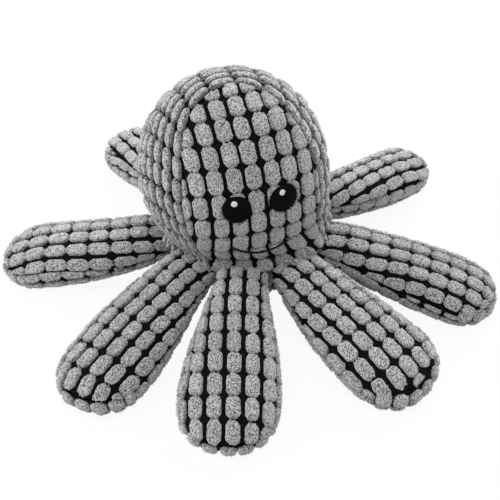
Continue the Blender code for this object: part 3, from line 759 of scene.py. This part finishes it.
def make_pile(name, sheet, columns, rows, seed, press=None, slant=0.0, least=1.7,
              fill=FILL_SHARE, roundness=5.0, proud=PROUD, flank=1.0, tuft=1.0):
    """All raised cells of one panel as a mesh; columns are s, rows are t."""
    rng = np.random.default_rng(seed)
    cells = lay_cells(sheet, columns, rows, rng, slant, least, fill)
    s0, t0, half_w, half_l, middle, reach = cells
    count = len(s0)
    serial = rng.integers(1, 1 << 20, count)[:, None, None]
    u_pos, u_high = pad_profile(CELL_SIDES, roundness)
    v_pos, v_high = pad_profile(CELL_LENGTHS, roundness + 0.5)
    t = middle + reach * v_pos
    low, high = cell_sides(sheet, t, s0, t0, half_w, half_l)
    wide = np.maximum(high - low, 0.2)
    s = ((low + high) / 2)[..., None] + wide[..., None] / 2 * u_pos
    t = np.repeat(t[..., None], CELL_SIDES, 2)
    local_x, local_y = s - s0[..., None], t - t0[..., None]

    # ragged outline and a nap that lies its own way in each cell
    v_pos, v_high = v_pos[:, None], v_high[:, None]
    s = s + 0.24 * np.abs(u_pos) ** 3 * noise(local_y / 0.6, np.sign(u_pos) * 3.3, serial)
    t = t + 0.7 * np.abs(v_pos) ** 4 * noise(local_x / 0.6, np.sign(v_pos) * 5.1, serial + 7)
    angle = rng.uniform(-0.9, 0.9, count)[:, None, None]
    along = local_x * np.sin(angle) + local_y * np.cos(angle)
    across = local_x * np.cos(angle) - local_y * np.sin(angle)
    nap = 0.5 * noise(across / 0.55, along / 0.9, serial + 3)
    nap = nap + 0.5 * noise(across / 0.8, along / 1.9, serial + 5)
    lump = noise(local_x / 1.9, local_y / 1.9, serial + 11)

    depth = sheet.depth(t)
    narrow = np.clip(wide.max(1) / 6.0, 0.0, 1.0)[:, None, None]
    tall = (depth + proud) * (0.72 + 0.28 * narrow)
    tall = tall * (1 + rng.normal(0, 0.04, count)[:, None, None])
    arch = np.broadcast_to(u_high * v_high, s.shape)
    height = tall * arch + arch * (0.26 * nap + 0.24 * lump)
    place, normal = sheet.place(s, t)
    top = place + normal * (height - depth - 0.15)[..., None]
    if press is not None:
        top = press(place, normal, top)
    top[..., 2] = np.maximum(top[..., 2], OFF_FLOOR)

    tint = np.clip(rng.normal(0.5, 0.17, count), 0, 1)
    grain = np.stack((across + serial % 97 * 13.0, along * 0.5, arch * 2), -1)
    # body: how far up its cell a point lies, which the pile material turns into painted shade down
    # the flanks; flank makes that painted shade reach further up the cell
    looks = {"tint": np.repeat(tint, CELL_SIDES * CELL_LENGTHS), "grain": grain.reshape(-1, 3),
             "body": np.clip(arch, 0, 1).reshape(-1) ** flank}
    points = top.reshape(-1, 3)
    faces = faced_out(grid_faces(CELL_LENGTHS, CELL_SIDES, count), top[0], normal[0])
    blades, blade_faces, blade_looks = tufts(top, wide, rng, tuft)
    looks = {key: np.concatenate((looks[key], blade_looks[key])) for key in looks}
    faces = np.concatenate((faces, blade_faces + len(points)))
    return add_mesh(name, np.concatenate((points, blades)), faces, PILE, looks)


def make_ground(name, sheet, rows, overlap, across):
    """The knitted ground under the cells, turned in where it is sewn."""
    t = rows[:, None]
    low, high = sheet.low(t) - overlap, sheet.high(t) + overlap
    s = low + (high - low) * np.linspace(0, 1, across)
    t = np.broadcast_to(t, s.shape)
    place, normal = sheet.place(s, t)
    turned_in = 1.3 * (1 - smooth(np.minimum(s - low, high - s) / 2.6))
    weave = 0.05 * noise(s / 0.5, t / 0.5, 3)
    depth = sheet.depth(t)
    fall = depth + np.minimum(turned_in, depth * 0.5) - weave
    points = place - normal * fall[..., None]
    points[..., 2] = np.maximum(points[..., 2], 0.05)
    faces = faced_out(grid_faces(len(t), across), points, normal)
    return add_mesh(name, points.reshape(-1, 3), faces, GROUND)


def dress(obj, body, slot, *nodes):
    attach(obj, body)
    if nodes:
        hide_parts(*nodes)


def sew_panel(name, body, slot, sheet, columns, rows, seed, cloth_rows, panel=(), under=(),
              overlap=0.4, across=61, **pile):
    """The pile and the cloth of a panel; they stand for the nodes in panel and in under."""
    dress(make_pile(f"{name}_pile", sheet, columns, rows, seed, **pile), body, slot, *panel)
    ground = make_ground(f"{name}_cloth", sheet, cloth_rows, overlap, across)
    dress(ground, body, slot, *under)


# The head

FACE = head_chart(True)
BACK = head_chart(False)
STRIP = strip_chart()
SEW_SHARE = 0.985


def half_side(reach):
    return lambda t: np.arccos(np.clip(reach(t / ANGLE_RADIUS), 0, 1)) * ANGLE_RADIUS


def share_range(chart):
    """Where a column, at s, meets the root ring at each end."""
    inside = chart.share < SEW_SHARE
    start = chart.t[inside.argmax(0)]
    stop = chart.t[::-1][inside[::-1].argmax(0)]
    return lambda at: (np.interp(at, chart.s, start), np.interp(at, chart.s, stop))


def flat_depth(t):
    return 0 * t + PILE_DEPTH


face_half = half_side(seam_reach(FACE_SEAM, True))
back_half = half_side(seam_reach(BACK_SEAM, False))
LEAN_OF_COLUMNS = 0.055
ROW_SPREAD, ROW_SAG, ROW_TILT = 0.000205, -0.00426, -0.0656


def face_row(s, t):
    """Where a row of the face lies: the rows spread apart towards the sides."""
    swerve = ROW_SPREAD * s ** 2 * np.maximum(t, -18) + ROW_SAG * s ** 2 + ROW_TILT * s
    return t + swerve * smooth((t + 62) / 40)


def face_edge(side):
    def edge(t):
        s = side * face_half(t)
        for _ in range(3):
            s = side * face_half(face_row(s, t))
        return s - LEAN_OF_COLUMNS * t
    return edge


def face_place(s, t):
    s = s + LEAN_OF_COLUMNS * t
    return FACE.at(s, face_row(s, t))


def strip_stretch(t):
    """The strip is pulled wider down the right side, and gathers to the chin at the left."""
    return 1 + STRIP_SPREAD * smooth((t + 5) / 50) - STRIP_GATHER * smooth((-t - 58) / 56)


strip_ends = share_range(STRIP)


def strip_range(s):
    return strip_ends(s * strip_stretch(-120))[0], strip_ends(s * strip_stretch(120))[1]


face_sheet = Sheet(face_place, face_edge(-1), face_edge(1), share_range(FACE), flat_depth)
back_sheet = Sheet(BACK.at, lambda t: -back_half(t), back_half, share_range(BACK), flat_depth)
strip_sheet = Sheet(
    lambda s, t: STRIP.at(s * strip_stretch(t), t), lambda t: 0 * t,
    lambda t: STRIP_WIDTH / strip_stretch(t), strip_range, flat_depth)

face_grid = FACE.points[::2, ::2]
face_tree = BVHTree.FromPolygons(
    [Vector(p) for p in face_grid.reshape(-1, 3)], grid_faces(*face_grid.shape[:2]).tolist())
head_axes = Matrix.Rotation(-HEAD_LEAN, 3, "Y")
IN_FRONT = 110.0


def on_face(x, z):
    """The place and normal of the face's skin, straight behind x, z in the head's own axes."""
    start = head_axes @ Vector((x, -IN_FRONT, z)) + Vector(HEAD_CENTRE)
    place, normal, _, _ = face_tree.ray_cast(start, head_axes @ Vector((0, 1, 0)))
    return place, normal


def eye_frame(x, z):
    """Axes at an eye: sideways, up and out of the face."""
    step = EYE_RADIUS / 2
    across = on_face(x + step, z)[0] - on_face(x - step, z)[0]
    upward = on_face(x, z + step)[0] - on_face(x, z - step)[0]
    normal = across.cross(upward).normalized()
    side = Vector((0, 0, 1)).cross(normal).normalized()
    axes = Matrix((side, normal.cross(side), normal)).transposed().to_4x4()
    axes.translation = on_face(x, z)[0]
    return axes


def smile_line():
    """Points along the smile, and the way out of the face at each."""
    middle, half = (MOUTH_LEFT + MOUTH_RIGHT) / 2, (MOUTH_RIGHT - MOUTH_LEFT) / 2
    points, outward = [], []
    for across in np.linspace(-1, 1, 61):
        height = MOUTH_HEIGHT + MOUTH_SAG * across ** 2 + MOUTH_TILT * across * half
        place, normal = on_face(middle + across * half, height)
        points.append(place)
        outward.append(normal if normal.y < 0 else -normal)
    return np.array(points), np.array(outward)


EYES = {side: eye_frame(EYE_OFF_CENTRE + way * (EYE_SPACING / 2 + EYE_ASIDE),
                        EYE_HEIGHT - EYE_LOWERED[side])
        for side, way in (("left", -1), ("right", 1))}
smile_points, smile_outward = smile_line()

# How deep stitches press the pile, how much it rises beside them, and over what distance
EYE_PRESS, EYE_RELEASE, EYE_EASE = -2.3, 3.2, 1.1
SMILE_PRESS, SMILE_RELEASE, SMILE_EASE = -1.3, 2.6, 1.3


def press_face(place, normal, top):
    """The eyes and the smile are stitched down through the pile."""
    rise = ((top - place) * normal).sum(-1)
    for side, axes in EYES.items():
        local = moved(place, axes.inverted())
        away = np.hypot(local[..., 0] / EYE_STRETCH[side], local[..., 1]) - EYE_RADIUS
        cap = EYE_PRESS + EYE_RELEASE * smooth(away / EYE_EASE)
        rise = np.where(np.abs(local[..., 2]) < 12, np.minimum(rise, cap), rise)
    gap = np.linalg.norm(place[..., None, :] - smile_points, axis=-1).min(-1)
    cap = SMILE_PRESS + SMILE_RELEASE * smooth((gap - 0.3) / SMILE_EASE)
    return place + normal * np.minimum(rise, cap)[..., None]


sew_panel("face_panel", "body", "pile_face", face_sheet, FACE_COLUMNS,
          np.arange(-5, 7) * FACE_ROW_PITCH - 0.5, 11, arc_length(np.linspace(-66, 87.6, 150)),
          ["face_panel"], ["body_filling"], press=press_face)
sew_panel("back_panel", "body", "pile_back", back_sheet, np.arange(-5, 6) * FACE_COLUMN_PITCH,
          6.0 - FACE_ROW_PITCH * np.arange(-1, 6), 12, arc_length(np.linspace(-66, 18.4, 90)),
          ["back_panel"])
# flank=2.8 spreads painted shade further up the strip's cells, so their crests stand lighter
# against the gaps
sew_panel("side_strip", "body", "pile_side", strip_sheet,
          np.arange(18) * STRIP_COLUMN_PITCH + 2.9,
          np.concatenate((-STRIP_ROWS[:0:-1], STRIP_ROWS)), 13, np.linspace(-142, 142, 285),
          ["side_strip"], fill=0.74, roundness=2.3, proud=1.1, flank=2.8, tuft=0.5)

BASE, base_radius = base_chart()


def base_edge(t):
    return np.sqrt(np.maximum((base_radius - 0.5) ** 2 - t ** 2, 0.01))


base_sheet = Sheet(BASE.at, lambda t: -base_edge(t), base_edge,
                   lambda s: (-base_edge(s), base_edge(s)), flat_depth)
sew_panel("base_panel", "body", "pile_base", base_sheet, np.arange(-6, 7) * COLUMN_PITCH,
          np.arange(-5, 6) * ROW_PITCH, 14,
          np.linspace(-base_radius + 0.6, base_radius - 0.6, 90), ["base_panel"])

# The embroidery: how far the crown, rim and foot of each patch are out of the face, in mm
EYE_PROFILE = (0.8, -1.0, -2.4)
GLINT_PROFILE = (0.45, 0.0, -0.7)
GLINT_RADIUS = 1.7
GLINT_ASIDE, GLINT_UP = -1.3, 4.3
STITCH_PITCH = 0.62
STITCH_HEIGHT = 0.07
STITCH_LIE = 0.5
DISC_RINGS, DISC_SIDES = 26, 96
SMILE_LIFT = 0.35
SMILE_THREAD = 0.66
PLY_TURN = 2.6
THREAD_STEPS, THREAD_SIDES = 360, 8
THREAD_END = 30


def stitched_disc(name, axes, radius, profile, material, ragged, wide=1.0):
    """A domed patch of close stitches, ridged along the thread."""
    crown, rim, foot = profile
    out = np.linspace(0, 1, DISC_RINGS)[:, None]
    turn = np.linspace(0, 2 * np.pi, DISC_SIDES, endpoint=False)[None]
    edge = 1 + ragged * noise(turn * DISC_SIDES / 12, out * 0 + 2.0, 5)
    x, y = radius * out * np.cos(turn) * edge, radius * out * np.sin(turn) * edge
    dome = rim + (crown - rim) * np.sqrt(np.maximum(0, 1 - out ** 2.6))
    across = x * math.cos(STITCH_LIE) + y * math.sin(STITCH_LIE)
    wave = np.sin(across * 2 * np.pi / STITCH_PITCH + 1.2 * noise(x * 1.3, y * 1.3, 9))
    z = dome + STITCH_HEIGHT * wave * (out < 0.97)
    wall = np.stack((x[-1], y[-1], np.full(DISC_SIDES, foot)), -1)
    points = np.concatenate((np.stack((x, y, z), -1).reshape(-1, 3), wall))
    faces = grid_faces(DISC_RINGS + 1, DISC_SIDES, closed=True)[:, (0, 3, 2, 1)]
    return add_mesh(name, moved(points * (wide, 1, 1), axes), faces, material)


for side, axes in EYES.items():
    wide = EYE_STRETCH[side]
    eye = stitched_disc(f"eye_{side}_stitches", axes, EYE_RADIUS, EYE_PROFILE, BLACK, 0.02, wide)
    dress(eye, "body", "thread_black", f"eye_{side}")
    crown, rim, _ = EYE_PROFILE
    out = math.hypot(GLINT_ASIDE, GLINT_UP) / EYE_RADIUS
    dome = rim + (crown - rim) * math.sqrt(1 - out ** 2)
    at = axes @ Matrix.Translation((GLINT_ASIDE * wide, GLINT_UP, dome))
    glint = stitched_disc(
        f"eye_glint_{side}_stitches", at, GLINT_RADIUS, GLINT_PROFILE, WHITE, 0.05)
    dress(glint, "body", "thread_white", f"eye_glint_{side}")


def twisted_thread(name, centre, outward, radius, material):
    """Two plies turned round each other along a line, thinner at its ends."""
    knots, fine = np.linspace(0, 1, len(centre)), np.linspace(0, 1, THREAD_STEPS)
    path, out = read_off(fine, knots, centre), read_off(fine, knots, outward)
    along = unit(np.gradient(path, axis=0))
    out = unit(out - along * (out * along).sum(1, keepdims=True))
    side = np.cross(along, out)
    step = np.arange(THREAD_STEPS)
    to_end = np.minimum(step, THREAD_STEPS - 1 - step)
    taper = np.minimum(1.0, 0.35 + 2.0 * to_end / THREAD_END)[:, None, None]
    turn = np.linspace(0, 2 * np.pi, THREAD_SIDES, endpoint=False)[None, :, None]
    ring = np.cos(turn) * out[:, None] + np.sin(turn) * side[:, None]
    plies = []
    for phase in (0, np.pi):
        angle = (run_along(path) * 2 * np.pi / PLY_TURN + phase)[:, None]
        middle = path + 0.45 * radius * (np.cos(angle) * out + np.sin(angle) * side)
        plies.append(middle[:, None] + 0.55 * radius * taper * ring)
    faces = grid_faces(THREAD_STEPS, THREAD_SIDES, len(plies), closed=True)
    return add_mesh(name, np.array(plies).reshape(-1, 3), faces, material)


lifted = smile_points + smile_outward * SMILE_LIFT
smile = twisted_thread("mouth_thread", lifted, smile_outward, SMILE_THREAD, MOUTH_BLACK)
dress(smile, "body", "thread_mouth", "mouth_stitch")

# The tentacles
FIRST_SEED = 20
TIP_NARROWING = 34.0
RIM_WIDTH = 8.5
LOWER_STOP, LOWER_LAST_ROW = 9.0, 14.0
RIM_LOW_END, RIM_CLOTH_END = 11.5, 12.1


def eased_table(pairs):
    """Values between knots, with the corners at the knots eased."""
    knots, values = np.array(pairs, float).T
    fine = np.linspace(knots[0], knots[-1], 60)
    rough = np.interp(fine, knots, values)
    eased = np.convolve(np.pad(rough, 4, "edge"), np.ones(9) / 9, "valid")
    return lambda t: np.interp(t, fine, eased)


def limb_sheet(limb, side, wander, roll, half, stop):
    """One side of a limb as a sheet; its columns wander with the twist of the cloth."""
    def place(s, t):
        round_it = (s + wander(t)) / np.maximum(limb.quarter_at(t), 0.3)
        return limb.chart.at(round_it + side, t)

    return Sheet(
        place, lambda t: roll(t) - wander(t) - half(t), lambda t: roll(t) - wander(t) + half(t),
        lambda s: (0 * s + limb.covered, 0 * s + stop), limb.depth_at)


def rim_sheet(limb, gap):
    """The rim of the tip as a sheet; its columns run over the edge, its rows along it."""
    return Sheet(
        lambda s, t: limb.rim.at(t, s), lambda t: 0 * t - RIM_REACH, lambda t: 0 * t + RIM_REACH,
        lambda s: (0 * s - gap, 0 * s + RIM_LOW_END), flat_depth)


def sew_tentacle(number, name, *shares):
    limb = Limb(*shares)
    rows, first, pitch, slant, drift, roll, tip_gap = LAYOUT[name]
    drift, roll = eased_table(drift), eased_table(roll)
    body = f"{name}_tentacle"
    seed = FIRST_SEED + 3 * number

    def upper_half(t):
        """Half the width of the upper panel, which ends short of the tip."""
        return limb.quarter_at(t + tip_gap * smooth((t - limb.length) / TIP_NARROWING + 1))

    def lower_half(t):
        """The lower panel's flanks reach the seam; at the tip its rim is laid on its own."""
        flank = 2 * limb.quarter_at(t) - upper_half(t)
        inside = np.maximum(limb.quarter_at(t) - RIM_WIDTH, 0.4)
        share = smooth((t - limb.rim_start) / 1.5)
        return flank * (1 - share) + inside * share

    sew = limb.length - tip_gap
    sew_panel(f"{name}_upper", body, "pile_upper",
              limb_sheet(limb, 0.0, drift, roll, upper_half, sew),
              np.arange(-5, 6) * pitch + first, rows, seed, np.linspace(0.2, sew, 110),
              [f"{name}_upper_panel"], [f"{name}_filling"], overlap=0.2, across=49,
              slant=slant, least=3.4, fill=0.76)

    stop = limb.length - LOWER_STOP
    sew_panel(f"{name}_lower", body, "pile_lower",
              limb_sheet(limb, 2.0, roll, roll, lower_half, stop),
              np.arange(-5, 6) * COLUMN_PITCH + 2.0,
              limb.length - LOWER_LAST_ROW - np.arange(10) * ROW_PITCH, seed + 1,
              np.linspace(0.2, stop, 110), [f"{name}_lower_panel"], overlap=0.2, across=73)

    gap = max(tip_gap, 3.0)
    sew_panel(f"{name}_rim", body, "pile_lower", rim_sheet(limb, gap),
              np.arange(-4, 5) * RIM_COLUMN_PITCH + 1.5,
              RIM_ROW_PITCH * np.arange(3) + max(4.5 - gap, -2.8), seed + 2,
              np.linspace(-gap - 0.6, RIM_CLOTH_END, 31), overlap=0.6, across=90,
              least=2.5, fill=0.9, roundness=2.4, proud=0.8)


for number, row in enumerate(TENTACLES):
    sew_tentacle(number, *row)

# Floor, in mm, and light and camera, in metres
FLOOR_HALF, FLOOR_DROP = 4000.0, 0.3
FLOOR_COLOUR = (0.9, 0.9, 0.9)
FLOOR_GLOW = 0.93
DOME_STRENGTH = 0.34
WHITE_LIGHT = (1, 1, 1, 1)
LAMP_TARGET = (0, 0, 0.05)
# name, place, size and power of each lamp
LAMPS = (
    ("overhead", (-0.2, -0.3, 1.4), 1.2, 10.8),
    ("left", (-1.2, 0.5, 0.7), 1.0, 12.0),
    ("behind", (0.95, 1.0, 0.75), 1.1, 25.0),
)
PHOTO_WIDTH_PX, FOCAL_PX = 500, 1050
SENSOR_WIDTH = 36.0
CAMERA_YAW, CAMERA_PITCH = math.radians(-18), math.radians(40.7)
CAMERA_PLACE = (0.001, -0.478, 0.423)


def plain_view(tree):
    """1 for rays from the camera, and for those by which a gloss or glass shows the ground."""
    path = add_node(tree, "LightPath", {})
    seen = path.outputs["Is Camera Ray"]
    for kind in ("Is Glossy Ray", "Is Transmission Ray"):
        either = add_node(tree, "Math", {0: seen, 1: path.outputs[kind]}, operation="MAXIMUM")
        seen = either.outputs["Value"]
    return seen


def mixed(tree, share, first, second):
    mix = add_node(tree, "MixShader", {"Fac": share, 1: first.outputs[0], 2: second.outputs[0]})
    return mix.outputs["Shader"]


def stage_material(name, colour, glow):
    """Pale ground that stays white to the camera and keeps a soft shadow."""
    material, tree, shader = new_material(name, 0.9, 0.0)
    fill_inputs(shader, {"Base Color": (*colour, 1)})
    light = add_node(tree, "Emission", {"Color": WHITE_LIGHT})
    share = add_node(tree, "Math", {0: plain_view(tree), 1: glow}, operation="MULTIPLY")
    surface = mixed(tree, share.outputs["Value"], shader, light)
    fill_inputs(tree.nodes["Material Output"], {"Surface": surface})
    return material


corners = [(x * FLOOR_HALF, y * FLOOR_HALF, -FLOOR_DROP)
           for x, y in ((-1, -1), (1, -1), (1, 1), (-1, 1))]
floor_look = stage_material("pale_floor", FLOOR_COLOUR, FLOOR_GLOW)
floor = add_mesh("floor", corners, [(0, 1, 2, 3)], floor_look)

scene = bpy.context.scene
world = scene.world or bpy.data.worlds.new("studio")
scene.world = world
world.use_nodes = True
tree = world.node_tree
tree.nodes.clear()
dome = add_node(tree, "Background", {"Color": WHITE_LIGHT, "Strength": DOME_STRENGTH})
seen = add_node(tree, "Background", {"Color": WHITE_LIGHT, "Strength": 1.0})
add_node(tree, "OutputWorld", {"Surface": mixed(tree, plain_view(tree), dome, seen)})


def aim(obj, place, direction):
    """Puts a lamp or camera at a place, looking along a direction."""
    obj.location = place
    obj.rotation_euler = direction.to_track_quat("-Z", "Y").to_euler()
    scene.collection.objects.link(obj)


for name, place, size, power in LAMPS:
    softbox = bpy.data.lights.new(name, "AREA")
    softbox.shape = "SQUARE"
    softbox.size = size
    softbox.energy = power
    aim(bpy.data.objects.new(name, softbox), place, Vector(LAMP_TARGET) - Vector(place))

camera_data = bpy.data.cameras.new("camera")
camera_data.sensor_width = SENSOR_WIDTH
camera_data.lens = SENSOR_WIDTH * FOCAL_PX / PHOTO_WIDTH_PX
camera_data.clip_end = 20
camera = bpy.data.objects.new("camera", camera_data)
turn = Matrix.Rotation(CAMERA_YAW, 3, "Z")
forward = Vector((0, math.cos(CAMERA_PITCH), -math.sin(CAMERA_PITCH)))
aim(camera, turn @ Vector(CAMERA_PLACE), turn @ forward)
scene.camera = camera
scene.view_settings.view_transform = "Standard"
